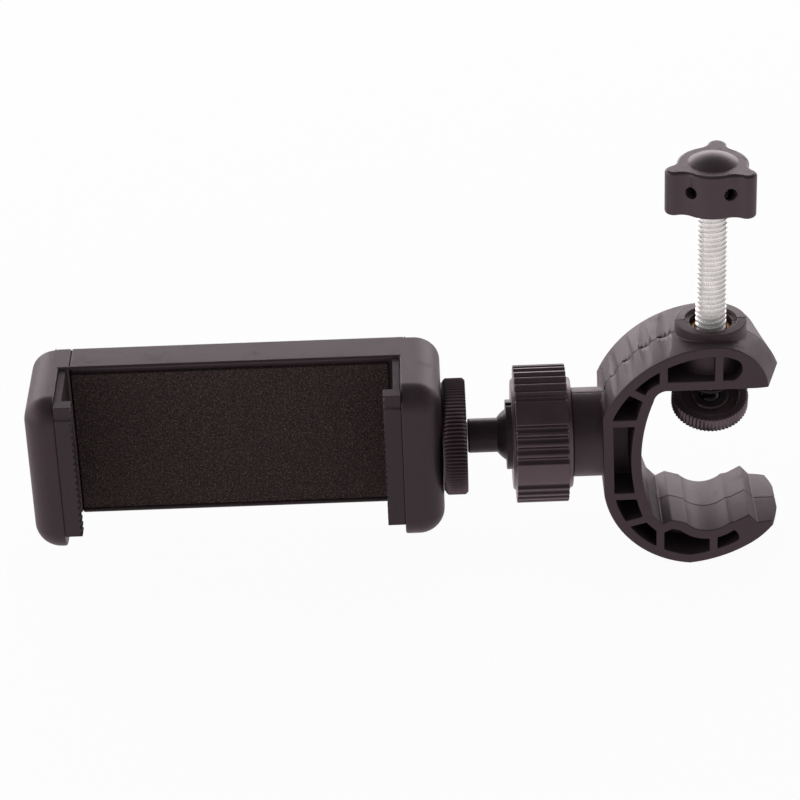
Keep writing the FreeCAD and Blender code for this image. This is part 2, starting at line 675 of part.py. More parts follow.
def pad_block(face_x, inward):
    """Rubber jaw pad on face_x: a wall with a toothed front lip reaching inward (1 or -1) along X."""
    top = CLIP_TOP_Z - JAW_PAD_TOP_DROP
    low = -CLIP_TOP_Z + JAW_PAD_LOW_DROP
    front = CLIP_FRONT_Y + JAW_PAD_FRONT_DROP
    tip_x = face_x + inward * JAW_PAD_T
    low_x, high_x = min(face_x, tip_x), max(face_x, tip_x)
    pad = block((low_x, front, low), (high_x, CHANNEL_FRONT_Y, top))
    wall_x = face_x + inward * JAW_PAD_WALL
    hollow_x = tip_x + inward
    pad = pad.cut(block((min(wall_x, hollow_x), front + JAW_PAD_LIP, low - 1),
                        (max(wall_x, hollow_x), CHANNEL_FRONT_Y + 1, top + 1)))
    cutters = []
    count = int((top - low) / JAW_PAD_TOOTH_PITCH)
    for index in range(count):
        z = low + (index + 0.5) * (top - low) / count
        tooth = Part.makeBox(JAW_PAD_TOOTH_DEPTH * 2, CLAMP_DEPTH, JAW_PAD_TOOTH_DEPTH * 2)
        tooth.translate(V(-JAW_PAD_TOOTH_DEPTH, 0, -JAW_PAD_TOOTH_DEPTH))
        tooth.rotate(V(0, 0, 0), Y_AXIS, 45)
        tooth.translate(V(tip_x + inward * JAW_PAD_TOOTH_DEPTH * 0.4, front - 1, z))
        cutters.append(tooth)
    step_low = top - 2 * JAW_PAD_TOOTH_PITCH
    step = block((low_x - 1, front - 1, step_low), (high_x + 1, front + JAW_PAD_STEP, top + 1))
    return pad.cut(Part.makeCompound(cutters)).cut(step)


def channel():
    """Back channel of the clip: front, top and bottom walls, open at the back and at the sliding jaw."""
    left, right = CHANNEL_END_X - 1, FIXED_INNER_X
    outer = block((CHANNEL_END_X, CHANNEL_FRONT_Y, -CLIP_TOP_Z), (right + 1, CLIP_BACK_Y, CLIP_TOP_Z))
    inside = block((left, CHANNEL_IN_FRONT_Y, -CHANNEL_IN_Z), (right, CLIP_BACK_Y + 1, CHANNEL_IN_Z))
    lip_z = CLIP_TOP_Z - CHANNEL_LIP
    recess = block((left, CHANNEL_FRONT_Y - 1, -lip_z), (right, CHANNEL_FRONT_Y + FOAM_RECESS, lip_z))
    return outer.cut([inside, recess])


def cover_screw_places():
    left = CHANNEL_END_X + COVER_SCREW_INSET_X
    right = FIXED_INNER_X - COVER_SCREW_INSET_X
    z = CHANNEL_IN_Z - COVER_SCREW_INSET_Z
    return [(x, side * z) for x in (left, right) for side in (-1, 1)]


def spring_pin_places(x):
    return [(x, side * SPRING_Z) for side in (-1, 1)]


def rods_y(radius, low_y, high_y, places):
    return [cylinder_y(radius, low_y, high_y, x, z) for x, z in places]


def clip_frame():
    body = jaw_shell(FIXED_OUTER_X, FIXED_INNER_X).fuse(channel())
    screws = cover_screw_places()
    wall_middle_y = CHANNEL_IN_FRONT_Y - FRONT_WALL / 2
    body = body.fuse(rods_y(COVER_BOSS_R, wall_middle_y, COVER_FRONT_Y, screws))
    cover_room = block((CHANNEL_END_X - 1, COVER_FRONT_Y, -CLIP_TOP_Z + COVER_RIM),
                       (FIXED_INNER_X, CLIP_BACK_Y + 1, CLIP_TOP_Z - COVER_RIM))
    holes = rods_y(COVER_SCREW_R, CHANNEL_IN_FRONT_Y, CLIP_BACK_Y + 1, screws)
    pins = rods_y(PIN_R, wall_middle_y, CLIP_BACK_Y, spring_pin_places(SPRING_FRAME_PIN_X))
    return body.cut([cover_room, stud_insert_blank()] + holes + pins).removeSplitter()


def stud_insert_blank():
    inner_end = FIXED_OUTER_X - INSERT_LENGTH
    sleeve = cylinder_x(STUD_INSERT_R, inner_end, FIXED_OUTER_X)
    return sleeve.fuse(cylinder_x(STUD_INSERT_FLANGE_R, inner_end, inner_end + STUD_INSERT_FLANGE_T))


def stud_insert():
    bore = cylinder_x(STUD_R + RUN_GAP, FIXED_OUTER_X - INSERT_LENGTH - 1, FIXED_OUTER_X + 1)
    return stud_insert_blank().cut(bore).removeSplitter()


def clip_back_cover():
    edge_z = CLIP_TOP_Z - COVER_RIM
    plate = block((CHANNEL_END_X, COVER_FRONT_Y, -edge_z), (FIXED_INNER_X, CLIP_BACK_Y, edge_z))
    screws = cover_screw_places()
    holes = rods_y(COVER_SCREW_R, COVER_FRONT_Y - 1, CLIP_BACK_Y + 1, screws)
    sinks = rods_y(COVER_SCREW_HEAD_R, CLIP_BACK_Y - COVER_SCREW_HEAD_T, CLIP_BACK_Y + 1, screws)
    return plate.cut(holes + sinks)


def cover_screws():
    screws = []
    for x, z in cover_screw_places():
        shank = cylinder_y(COVER_SCREW_R, CHANNEL_IN_FRONT_Y, CLIP_BACK_Y - COVER_SCREW_HEAD_T, x, z)
        head = cylinder_y(COVER_SCREW_HEAD_R, CLIP_BACK_Y - COVER_SCREW_HEAD_T, CLIP_BACK_Y, x, z)
        slot = block((x - COVER_SCREW_R, CLIP_BACK_Y - COVER_SCREW_HEAD_T / 2, z - COVER_SCREW_R / 4),
                     (x + COVER_SCREW_R, CLIP_BACK_Y + 1, z + COVER_SCREW_R / 4))
        screws.append(shank.fuse(head).cut(slot))
    return Part.makeCompound(screws)


def back_pad():
    lip_z = CLIP_TOP_Z - CHANNEL_LIP - SOFT_GAP
    back = CHANNEL_FRONT_Y + FOAM_RECESS
    return block((FOAM_LEFT_X, back - FOAM_T, -lip_z), (FOAM_RIGHT_X, back, lip_z - FOAM_TOP_GAP))


def spring_slots():
    front, back = TONGUE_Y - TONGUE_T, TONGUE_Y + TONGUE_T
    places = spring_pin_places(SPRING_JAW_PIN_X)
    slots = rods_y(SPRING_SLOT / 2, front, back, places)
    for x, z in places:
        slots.append(block((x, front, z - SPRING_SLOT / 2), (TONGUE_END_X + 1, back, z + SPRING_SLOT / 2)))
    return slots


def sliding_jaw():
    shell = jaw_shell(SLIDING_OUTER_X, SLIDING_INNER_X)
    root_x = SLIDING_INNER_X - 1
    heel = block((root_x, CHANNEL_FRONT_Y, -CLIP_TOP_Z), (CHANNEL_END_X, CLIP_BACK_Y, CLIP_TOP_Z))
    boss_room = COVER_SCREW_INSET_Z + COVER_BOSS_R + SLIDE_GAP
    edge_z = CHANNEL_IN_Z - boss_room
    front, back = TONGUE_Y - TONGUE_T / 2, TONGUE_Y + TONGUE_T / 2
    tongue = block((root_x, front, -edge_z), (TONGUE_END_X, back, edge_z))
    body = shell.fuse([heel, tongue]).cut(spring_slots())
    places = spring_pin_places(SPRING_JAW_PIN_X)
    bars = []
    for x, z in places:
        reach = SPRING_SLOT / 2 + PIN_BAR
        bars.append(block((x - PIN_BAR, front, z - reach), (x + PIN_BAR, front + PIN_R, z + reach)))
    return body.fuse(bars).cut(rods_y(PIN_R, front, back, places)).removeSplitter()


def frame_spring_pins():
    front = CHANNEL_IN_FRONT_Y - FRONT_WALL / 2
    return Part.makeCompound(rods_y(PIN_R, front, COVER_FRONT_Y, spring_pin_places(SPRING_FRAME_PIN_X)))


def jaw_spring_pins():
    front, back = TONGUE_Y - TONGUE_T / 2, TONGUE_Y + TONGUE_T / 2
    return Part.makeCompound(rods_y(PIN_R, front, back, spring_pin_places(SPRING_JAW_PIN_X)))


def jaw_spring(side):
    """Closed-coil extension spring: a thin tube with a loop round each pin."""
    z = side * SPRING_Z
    loop_r = PIN_R + SPRING_WIRE + RUN_GAP
    tube_low = SPRING_JAW_PIN_X + loop_r
    tube_high = SPRING_FRAME_PIN_X - loop_r
    end_t = 2 * SPRING_WIRE
    tube = cylinder_x(SPRING_R, tube_low, tube_high, TONGUE_Y, z)
    hollow = cylinder_x(SPRING_R - SPRING_WIRE, tube_low + end_t, tube_high - end_t, TONGUE_Y, z)
    loops = []
    for x in (SPRING_JAW_PIN_X, SPRING_FRAME_PIN_X):
        loops.append(Part.makeTorus(loop_r, SPRING_WIRE, V(x, TONGUE_Y, z), Y_AXIS))
    return tube.cut(hollow).fuse(loops)


def fixed_jaw_pad():
    return pad_block(FIXED_INNER_X, -1)


def sliding_jaw_pad():
    return pad_block(SLIDING_INNER_X, 1)


def jaw_spring_upper():
    return jaw_spring(1)


def jaw_spring_lower():
    return jaw_spring(-1)


PARTS = (
    clamp_body, clamp_insert, clamp_screw, tip_washer, knob, pressure_pad, pad_retainer,
    ball_seat, grip_ring, lock_collar, ball_stud, threaded_stud, lock_disc,
    clip_frame, stud_insert, clip_back_cover, cover_screws, back_pad, fixed_jaw_pad,
    sliding_jaw, sliding_jaw_pad, frame_spring_pins, jaw_spring_pins, jaw_spring_upper, jaw_spring_lower,
)

os.makedirs("parts", exist_ok=True)
for make in PARTS:
    shape = make()
    box = shape.BoundBox
    extent = [round(value, 2) for value in (box.XLength, box.YLength, box.ZLength)]
    state = "valid" if shape.isValid() else "invalid"
    print(make.__name__, len(shape.Solids), state, round(shape.Volume, 2), extent)
    shape.exportStep("parts/" + make.__name__ + ".step")
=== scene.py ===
import math

import bmesh
import bpy
from mathutils import Matrix, Vector


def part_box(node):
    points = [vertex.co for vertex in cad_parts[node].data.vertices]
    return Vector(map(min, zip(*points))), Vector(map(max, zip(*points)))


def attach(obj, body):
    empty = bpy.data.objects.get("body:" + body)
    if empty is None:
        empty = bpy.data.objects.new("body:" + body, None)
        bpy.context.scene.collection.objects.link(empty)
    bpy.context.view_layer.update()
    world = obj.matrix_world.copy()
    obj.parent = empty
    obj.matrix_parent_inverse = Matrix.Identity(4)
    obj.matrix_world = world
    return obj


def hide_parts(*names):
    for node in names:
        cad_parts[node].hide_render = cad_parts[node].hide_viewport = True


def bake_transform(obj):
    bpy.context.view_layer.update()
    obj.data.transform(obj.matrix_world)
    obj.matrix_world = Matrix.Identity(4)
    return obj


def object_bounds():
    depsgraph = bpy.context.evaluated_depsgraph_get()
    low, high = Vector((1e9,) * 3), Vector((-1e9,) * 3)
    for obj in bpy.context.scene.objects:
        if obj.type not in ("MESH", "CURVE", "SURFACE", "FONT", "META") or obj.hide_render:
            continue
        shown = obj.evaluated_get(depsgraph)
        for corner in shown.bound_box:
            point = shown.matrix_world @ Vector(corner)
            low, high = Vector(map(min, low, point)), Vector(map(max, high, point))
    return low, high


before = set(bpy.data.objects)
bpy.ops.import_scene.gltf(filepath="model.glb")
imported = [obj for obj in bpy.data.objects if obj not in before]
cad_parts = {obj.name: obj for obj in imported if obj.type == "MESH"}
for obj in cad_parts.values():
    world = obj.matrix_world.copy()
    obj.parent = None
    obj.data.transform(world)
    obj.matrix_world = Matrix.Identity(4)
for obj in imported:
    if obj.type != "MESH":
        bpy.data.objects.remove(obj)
CAD_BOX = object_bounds()

bl_info = {
    "name": "Phone Clip Mount",
    "version": (1, 0, 0),
    "blender": (4, 5, 0),
    "location": "View3D > Sidebar > Mount",
    "description": "Dresses a sprung phone clip on a ball head and C-clamp",
    "category": "Object",
}

MM = 0.001
NEAR = 1e-7
X_AXIS = Vector((1, 0, 0))
Y_AXIS = Vector((0, 1, 0))
Z_AXIS = Vector((0, 0, 1))

# Screw thread, in millimetres along the screw's axis
THREAD_LOW_Z = 9.85
THREAD_HIGH_Z = 50.5
THREAD_R = 2.9
THREAD_DEPTH = 0.5
THREAD_STEPS = 40
TIP_NECK_R = 1.2
TIP_NECK_IN = 0.4
TIP_BALL_R = 2.3
TIP_BALL_Z = 6.1

# Lock collar, in millimetres: its radius, the depths at which a point belongs to a flute,
# and the share by which the flutes are pressed deeper
COLLAR_R = 13.2
COLLAR_FLUTE = (0.02, 0.7)
COLLAR_DEEPER = 0.6

# Lock disc and stud, in millimetres
DISC_R = 11.2
DISC_BEVEL = 0.5
DISC_KNURLS = 92
DISC_KNURL_DEPTH = 0.42
DISC_HUB_T = 0.3
DISC_HUB_IN = 0.7
STUD_R = 3.1
STUD_GAP = 0.05

# Pressure pad, in millimetres, and its tilt in degrees
PAD_R = 7.3
PAD_H = 3.2
PAD_TOP_ABOVE_BALL = 2.0
PAD_DISH_R = 5.5
PAD_DISH_DEPTH = 0.85
PAD_RING_R = (3.0, 3.7)
PAD_RING_H = 0.5
PAD_SOCKET_R = 2.38
PAD_BEVEL = 0.3
PAD_RIBS = 60
PAD_RIB_DEPTH = 0.22
PAD_TILT = 18.0

# Springs, in millimetres: radius of the wire, of its coils and of the end loops, and length of the hooks
WIRE_R = 0.28
COIL_R = 0.82
LOOP_R = 1.35
HOOK_L = 1.1
WIRE_SIDES = 6
COIL_STEPS = 14

# Clamp, in millimetres: half its depth, how far its mould halves seem to fall away towards the faces,
# half the width of its seam, and where the lower nose gets too thin for rounded edges
CLAMP_HALF = 9.1
CLAMP_DRAFT = 0.7
SEAM_HALF = 0.13
NOSE_TIP_X = 11.6

# Copies of the CAD's meshes, in millimetres and degrees: distance of points that are one,
# turn within a flat face and shortest edge
SAME_POINT = 0.002
FLAT_TURN = 1.0
SHORTEST_EDGE = 0.08

# Turn from which an edge is rounded, corner too tight for it and turn from which shading breaks, in degrees
ROUND_TURN = 30.0
TIGHT_CORNER = 35.0
SHARP_TURN = 40.0

# Camera: where it looks, how far off it stands and how it is turned
CAMERA_TARGET = Vector((-59.0, 0.0, 8.49)) * MM
CAMERA_DISTANCE = 609.49 * MM
CAMERA_PITCH = math.radians(30.19)
CAMERA_YAW = math.radians(-0.6)
CAMERA_ROLL = math.radians(2.4)
CAMERA_LENS = 143.92
SENSOR_WIDTH = 36.0

# Unlit side of the studio, in front and above, which glossy surfaces mirror, the warmth of what is lit
# and the warmth that the plastics give back
DARK_SIDE = Vector((0.0, -0.86, 0.51))
STUDIO_TINT = (1.0, 0.90, 0.93)
PLASTIC_TINT = (1.0, 0.78, 0.85)

# Studio: level of the sky on matt surfaces; for glossy ones, what is left of it high up, what the unlit side
# takes away and the bands over which both change; half the floor's width, its grey and the share of its glow
SKY_LEVEL = 0.60
SKY_HIGH = 0.28
SKY_BAND = (0.62, 0.40)
SIDE_LOSS = 0.7
SIDE_BAND = (0.10, 0.60)
FLOOR_SIZE = 3.0
FLOOR_GREY = 0.82
FLOOR_GLOW = 0.95

# Area lamps: name, place, width and height in metres, and power in watts
LAMPS = (
    ("back_softbox", (-0.06, 0.75, 0.19), 1.20, 0.40, 3.9),
    ("left_softbox", (-0.75, 0.00, 0.19), 1.20, 0.40, 2.4),
)

# Steels whose colour is not a setting; the ball tip's near-black is painted shade, for the dark underside of
# the clamp mirrored in it
SPRING_COLOUR = (0.45, 0.45, 0.46)
TIP_SHADE_COLOUR = (0.06, 0.055, 0.055)


# ---- properties

class MountColours(bpy.types.PropertyGroup):
    """Colours of the mount's materials."""

    clamp: bpy.props.FloatVectorProperty(
        name="Clamp", description="Grained plastic of the clamp, collar and disc",
        subtype="COLOR", size=3, min=0, max=1, default=(0.026, 0.0185, 0.021))
    clip: bpy.props.FloatVectorProperty(
        name="Clip", description="Satin plastic of the clip's frame and jaw",
        subtype="COLOR", size=3, min=0, max=1, default=(0.026, 0.0185, 0.021))
    knob: bpy.props.FloatVectorProperty(
        name="Knob", description="Plastic of the three-lobe knob",
        subtype="COLOR", size=3, min=0, max=1, default=(0.022, 0.0175, 0.0195))
    neck: bpy.props.FloatVectorProperty(
        name="Neck", description="Smooth plastic of the ball stud and its seat",
        subtype="COLOR", size=3, min=0, max=1, default=(0.022, 0.017, 0.018))
    rubber: bpy.props.FloatVectorProperty(
        name="Rubber", description="Rubber of the jaw pads",
        subtype="COLOR", size=3, min=0, max=1, default=(0.032, 0.025, 0.027))
    foam: bpy.props.FloatVectorProperty(
        name="Foam", description="Speckled foam of the back pad",
        subtype="COLOR", size=3, min=0, max=1, default=(0.038, 0.0265, 0.026))
    zinc: bpy.props.FloatVectorProperty(
        name="Zinc", description="Zinc plating of the screws and pins",
        subtype="COLOR", size=3, min=0, max=1, default=(0.97, 0.97, 0.95))
    brass: bpy.props.FloatVectorProperty(
        name="Brass", description="Brass of the thread inserts",
        subtype="COLOR", size=3, min=0, max=1, default=(0.42, 0.25, 0.10))


class MountSizes(bpy.types.PropertyGroup):
    """Sizes of the details that dress the mount."""

    edge: bpy.props.FloatProperty(
        name="Edge radius", description="Radius of the moulded edges",
        unit="LENGTH", subtype="DISTANCE", default=0.40 * MM, min=0)
    fine_edge: bpy.props.FloatProperty(
        name="Fine edge radius", description="Radius of the edges on ribs and small parts",
        unit="LENGTH", subtype="DISTANCE", default=0.12 * MM, min=0)
    seam: bpy.props.FloatProperty(
        name="Seam depth", description="Depth of the parting line on the mouldings",
        unit="LENGTH", subtype="DISTANCE", default=0.20 * MM, min=0)
    pitch: bpy.props.FloatProperty(
        name="Thread pitch", description="Advance of the clamp screw in one turn",
        unit="LENGTH", subtype="DISTANCE", default=1.0 * MM, min=0)
    coils: bpy.props.IntProperty(
        name="Spring coils", description="Turns of wire in each jaw spring",
        default=46, min=4, max=80)


# ---- shader maths

class Wire:
    """One node socket for use in expressions; each operator adds the node that it needs."""

    def __init__(self, tree, socket):
        self.tree = tree
        self.socket = socket

    def node(self, kind, settings=None, inputs=None, output=0):
        """Adds a node of a type, sets it, feeds its inputs and gives one of its outputs."""
        made = self.tree.nodes.new(kind)
        for name, value in (settings or {}).items():
            setattr(made, name, value)
        for name, value in (inputs or {}).items():
            if isinstance(value, Wire):
                self.tree.links.new(value.socket, made.inputs[name])
            else:
                made.inputs[name].default_value = value
        return Wire(self.tree, made.outputs[output]) if made.outputs else None

    def maths(self, operation, first, second=0.0, clamp=False):
        """One step of arithmetic."""
        settings = {"operation": operation, "use_clamp": clamp}
        return self.node("ShaderNodeMath", settings, {0: first, 1: second})

    def __add__(self, other):
        return self.maths("ADD", self, other)

    def __rsub__(self, other):
        return self.maths("SUBTRACT", other, self)

    def __mul__(self, other):
        return self.maths("MULTIPLY", self, other)

    def __abs__(self):
        return self.maths("ABSOLUTE", self)

    def part(self, letter):
        """One coordinate of a vector."""
        return self.node("ShaderNodeSeparateXYZ", None, {0: self}, "XYZ".index(letter))

    def between(self, low, high):
        """Rises smoothly from 0 at low to 1 at high."""
        settings = {"interpolation_type": "SMOOTHSTEP"}
        inputs = {"Value": self}
        if low < high:
            inputs.update({"From Min": low, "From Max": high})
        else:
            inputs.update({"From Min": high, "From Max": low, "To Min": 1.0, "To Max": 0.0})
        return self.node("ShaderNodeMapRange", settings, inputs)

    def noise(self, size, detail):
        """Noise whose features are about size metres across."""
        spread = self.node("ShaderNodeMapping", None, {"Vector": self, "Scale": [1 / size] * 3})
        return self.node("ShaderNodeTexNoise", None, {"Vector": spread, "Scale": 1.0, "Detail": detail})

    def cells(self, size):
        """Distance to the nearest of scattered points about size metres apart."""
        return self.node("ShaderNodeTexVoronoi", None, {"Vector": self, "Scale": 1 / size})

    def blend(self, first, second):
        """Mixes two colours; this socket is the share of the second."""
        pair = {0: self}
        for key, colour in ((6, first), (7, second)):
            pair[key] = colour if isinstance(colour, Wire) else (*colour, 1.0)
        return self.node("ShaderNodeMix", {"data_type": "RGBA"}, pair, 2)

    def bump(self, distance, under=None):
        """Normal of a surface raised by this height, up to distance metres."""
        inputs = {"Height": self, "Distance": distance, "Strength": 1.0}
        if under is not None:
            inputs["Normal"] = under
        return self.node("ShaderNodeBump", None, inputs)


def new_material(name, **constants):
    """Sets up the material of a name, constants on the shader's sockets; gives shader and coordinates."""
    material = bpy.data.materials.get(name) or bpy.data.materials.new(name)
    material.use_nodes = True
    tree = material.node_tree
    tree.nodes.clear()
    shader = tree.nodes.new("ShaderNodeBsdfPrincipled")
    output = tree.nodes.new("ShaderNodeOutputMaterial")
    tree.links.new(shader.outputs["BSDF"], output.inputs["Surface"])
    for key, value in constants.items():
        shader.inputs[key.replace("_", " ")].default_value = value
    place = Wire(tree, tree.nodes.new("ShaderNodeTexCoord").outputs["Object"])
    return shader, place


def drive(shader, **wires):
    """Links what changes over the surface to the shader's sockets."""
    for key, wire in wires.items():
        wire.tree.links.new(wire.socket, shader.inputs[key.replace("_", " ")])


def shade(colour, factor):
    """Lighter or darker colour."""
    return tuple(min(1.0, channel * factor) for channel in colour)


def plastic(name, colour, roughness, grain, grain_depth, variation=0.12, seam=False, gloss=0.5, crest=None):
    """Moulded plastic with grain, flow marks, rubbing and dust; if asked, a seam at Y = 0 with painted shade
    along it, or painted shade below crests and a painted highlight on them.
    """
    shader, place = new_material(name, IOR=1.48, Specular_IOR_Level=gloss, Specular_Tint=(*PLASTIC_TINT, 1))
    fine = place.noise(grain, 3.0)
    cloud = place.noise(9 * MM, 3.0)
    rubbed = place.noise(2.2 * MM, 5.0).between(0.56, 0.72)
    specks = place.cells(1.3 * MM).between(0.10, 0.04)
    tone = cloud.between(0.3, 0.7).blend(shade(colour, 1 - variation), shade(colour, 1 + variation))
    tone = (rubbed * 0.22).blend(tone, shade(colour, 1.7))
    tone = (specks * 0.25).blend(tone, shade(colour, 2.2))
    draft = None
    # Painted shade darkens the knurl grooves and the faces inside the crest band; a painted highlight
    # lightens the outermost 0.1 mm of the crests
    if crest is not None:
        low, high = (radius * MM for radius in crest)
        radial = place.node("ShaderNodeVectorMath", {"operation": "MULTIPLY"}, {0: place, 1: (0, 1, 1)})
        out = radial.node("ShaderNodeVectorMath", {"operation": "LENGTH"}, {0: radial}, 1)
        tone = out.between(low, high).blend(shade(colour, 0.25), tone)
        tone = (out.between(high - 0.10 * MM, high) * 0.6).blend(tone, shade(colour, 3.2))
    if seam:
        # Painted shade: a dark line along the seam's groove
        across = abs(place.part("Y"))
        line = across.between(0.20 * MM, 0.08 * MM)
        tone = (line * 0.9).blend(tone, shade(colour, 0.1))
        slant = across * (1 / (CLAMP_HALF * MM))
        draft = (2.0 - (slant + slant * slant)).bump(CLAMP_DRAFT / 2 * MM)
    rough = cloud * 0.10 + rubbed * 0.08 + fine * 0.10 + (roughness - 0.12)
    drive(shader, Base_Color=tone, Roughness=rough, Normal=fine.bump(grain_depth, draft))


def metal(name, colour, roughness, metallic=1.0):
    """Plated or turned metal with fine marks; one with a milky coat is less than fully metallic."""
    shader, place = new_material(name, Metallic=metallic)
    marks = place.noise(0.25 * MM, 3.0)
    cloud = place.noise(3 * MM, 3.0)
    tone = cloud.between(0.35, 0.7).blend(shade(colour, 0.88), colour)
    rough = marks * 0.16 + cloud * 0.08 + (roughness - 0.12)
    drive(shader, Base_Color=tone, Roughness=rough, Normal=marks.bump(0.012 * MM))


def foam_material(colour):
    """Open-cell foam: pores darkened with painted shade, and a scatter of pale fibres."""
    shader, place = new_material("foam", IOR=1.35, Specular_IOR_Level=0.2, Roughness=0.95)
    pores_and_shade = place.cells(0.42 * MM)
    specks = place.noise(0.34 * MM, 1.0).between(0.54, 0.66)
    warm = place.noise(0.42 * MM, 1.0).between(0.58, 0.68)
    # Painted shade darkens the pores, the low points of the bump
    tone = pores_and_shade.between(0.1, 0.5).blend(shade(colour, 0.3), shade(colour, 1.0))
    tone = (specks * 0.7).blend(tone, shade(colour, 3.2))
    tone = (warm * 0.4).blend(tone, (0.11, 0.07, 0.06))
    height = pores_and_shade + specks * 0.5
    drive(shader, Base_Color=tone, Normal=height.bump(0.16 * MM))


def rubber_material(colour):
    """Moulded rubber: very fine matt grain with a faint bloom."""
    shader, place = new_material("jaw_rubber", IOR=1.42, Specular_Tint=(*PLASTIC_TINT, 1))
    fine = place.noise(0.16 * MM, 3.0)
    bloom = place.noise(3.5 * MM, 4.0).between(0.42, 0.72)
    tone = (bloom * 0.5).blend(colour, shade(colour, 1.5))
    rough = bloom * 0.12 + 0.62
    drive(shader, Base_Color=tone, Roughness=rough, Normal=fine.bump(0.03 * MM))


def make_materials():
    """Every material of the mount, from the colours in the panel."""
    colours = bpy.context.scene.mount_colours
    clamp = tuple(colours.clamp)
    plastic("clamp_plastic", clamp, 0.50, 0.20 * MM, 0.030 * MM)
    # The clamp's seam gets a dark line of painted shade
    plastic("clamp_seamed_painted_shade", clamp, 0.47, 0.20 * MM, 0.030 * MM, seam=True, gloss=0.55)
    plastic("clip_plastic", tuple(colours.clip), 0.47, 0.16 * MM, 0.024 * MM, 0.08, gloss=0.44)
    plastic("knob_plastic", tuple(colours.knob), 0.44, 0.18 * MM, 0.022 * MM, gloss=0.8)
    # Collar and pad: the clamp plastic lightened as painted light
    plastic("head_plastic_painted_light", shade(clamp, 1.15), 0.34, 0.20 * MM, 0.016 * MM, gloss=0.95)
    # Lock disc: the clamp plastic lightened as painted light, with painted shade in its knurl grooves and a
    # painted highlight on its crests
    plastic("disc_plastic_painted_light", shade(clamp, 1.6), 0.36, 0.20 * MM, 0.012 * MM, gloss=0.8,
            crest=(DISC_R - 0.40, DISC_R - 0.02))
    plastic("stud_plastic", tuple(colours.neck), 0.36, 0.16 * MM, 0.008 * MM, gloss=0.22)
    rubber_material(tuple(colours.rubber))
    foam_material(tuple(colours.foam))
    metal("zinc_steel", tuple(colours.zinc), 0.26, 0.6)
    metal("spring_steel", SPRING_COLOUR, 0.32)
    metal("tip_steel_painted_shade", TIP_SHADE_COLOUR, 0.30)
    metal("brass", tuple(colours.brass), 0.42)


# ---- modelling helpers

def cad_copy(node):
    """Copy of a CAD node's triangles, merged and joined into whole faces, less its shortest edges."""
    bm = bmesh.new()
    bm.from_mesh(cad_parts[node].data)
    bmesh.ops.remove_doubles(bm, verts=bm.verts, dist=SAME_POINT * MM)
    bmesh.ops.dissolve_limit(bm, angle_limit=math.radians(FLAT_TURN), verts=bm.verts, edges=bm.edges)
    bmesh.ops.dissolve_degenerate(bm, dist=SHORTEST_EDGE * MM, edges=bm.edges)
    return bm


def lathe(stations, axis, side, steps):
    """Closed surface turned about an axis from (along, radius) stations in millimetres."""
    bm = bmesh.new()
    points = [(axis * along + side * radius) * MM for along, radius in stations]
    verts = [bm.verts.new(point) for point in points]
    edges = [bm.edges.new(pair) for pair in zip(verts, verts[1:])]
    bmesh.ops.spin(bm, geom=verts + edges, cent=(0, 0, 0), axis=axis, dvec=(0, 0, 0),
                   angle=math.tau, steps=steps, use_merge=True)
    bmesh.ops.remove_doubles(bm, verts=bm.verts, dist=0.001 * MM)
    bmesh.ops.recalc_face_normals(bm, faces=bm.faces)
    return bm


def round_edges(bm, width, segments=3, kept=()):
    """Bevels the edges that turn enough, less those kept sharp and one in each tight corner."""
    chosen = {edge for edge in bm.edges
              if edge.is_manifold and edge.calc_face_angle(0) > math.radians(ROUND_TURN)}
    chosen.difference_update(kept)
    for face in bm.faces:
        for loop in face.loops:
            pair = (loop.edge, loop.link_loop_prev.edge)
            if loop.calc_angle() < math.radians(TIGHT_CORNER) and chosen.issuperset(pair):
                chosen.discard(min(pair, key=lambda edge: edge.calc_length()))
    bmesh.ops.bevel(bm, geom=list(chosen), offset=width, offset_type="OFFSET", affect="EDGES",
                    segments=segments, profile=0.5, material=-1, clamp_overlap=False)


def flute(bm, axis, side, count, depth, from_radius, shape=1.0):
    """Presses evenly spaced flutes into what lies beyond a radius about an axis, in millimetres."""
    other = axis.cross(side)
    for vert in bm.verts:
        radial = vert.co - axis * vert.co.dot(axis)
        if radial.length > from_radius * MM:
            turn = math.atan2(radial.dot(other), radial.dot(side))
            wave = (0.5 - 0.5 * math.cos(count * turn)) ** shape
            vert.co -= radial.normalized() * depth * MM * wave


def cut_seam(bm, depth, half_width):
    """Cuts the thin line that the two halves of a mould leave along the plane Y = 0."""
    for y in (-half_width, 0.0, half_width):
        whole = bm.verts[:] + bm.edges[:] + bm.faces[:]
        bmesh.ops.bisect_plane(bm, geom=whole, plane_co=(0, y, 0), plane_no=Y_AXIS, dist=NEAR)
    bm.normal_update()
    line = [(vert, vert.normal.copy()) for vert in bm.verts if abs(vert.co.y) < NEAR]
    for vert, normal in line:
        vert.co -= normal * depth


def add_piece(name, bm, body, slot, replaced=(), material=None):
    """Makes the mesh an object at the origin that rides on a body and replaces CAD nodes."""
    mesh = bpy.data.meshes.new(name)
    bm.to_mesh(mesh)
    bm.free()
    mesh.shade_smooth()
    mesh.set_sharp_from_angle(angle=math.radians(SHARP_TURN))
    piece = bpy.data.objects.new(name, mesh)
    bpy.context.scene.collection.objects.link(piece)
    mesh.materials.append(bpy.data.materials[material or slot])
    even = piece.modifiers.new("Even shading", "WEIGHTED_NORMAL")
    even.keep_sharp = True
    if replaced:
        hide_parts(*replaced)
    if body is not None:
        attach(piece, body)
    return piece


def dress_node(node, slot):
    """Gives a CAD node that keeps its shape a better material."""
    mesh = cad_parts[node].data
    mesh.materials.clear()
    mesh.materials.append(bpy.data.materials[slot])


def rounded_copy(node, body, slot, width, segments=3):
    """Copy of a CAD node with rounded edges, standing for it."""
    bm = cad_copy(node)
    round_edges(bm, width, segments)
    return add_piece(node + "_shell", bm, body, slot, [node])


def sizes():
    """Sizes in the panel."""
    return bpy.context.scene.mount_sizes


# ---- operators

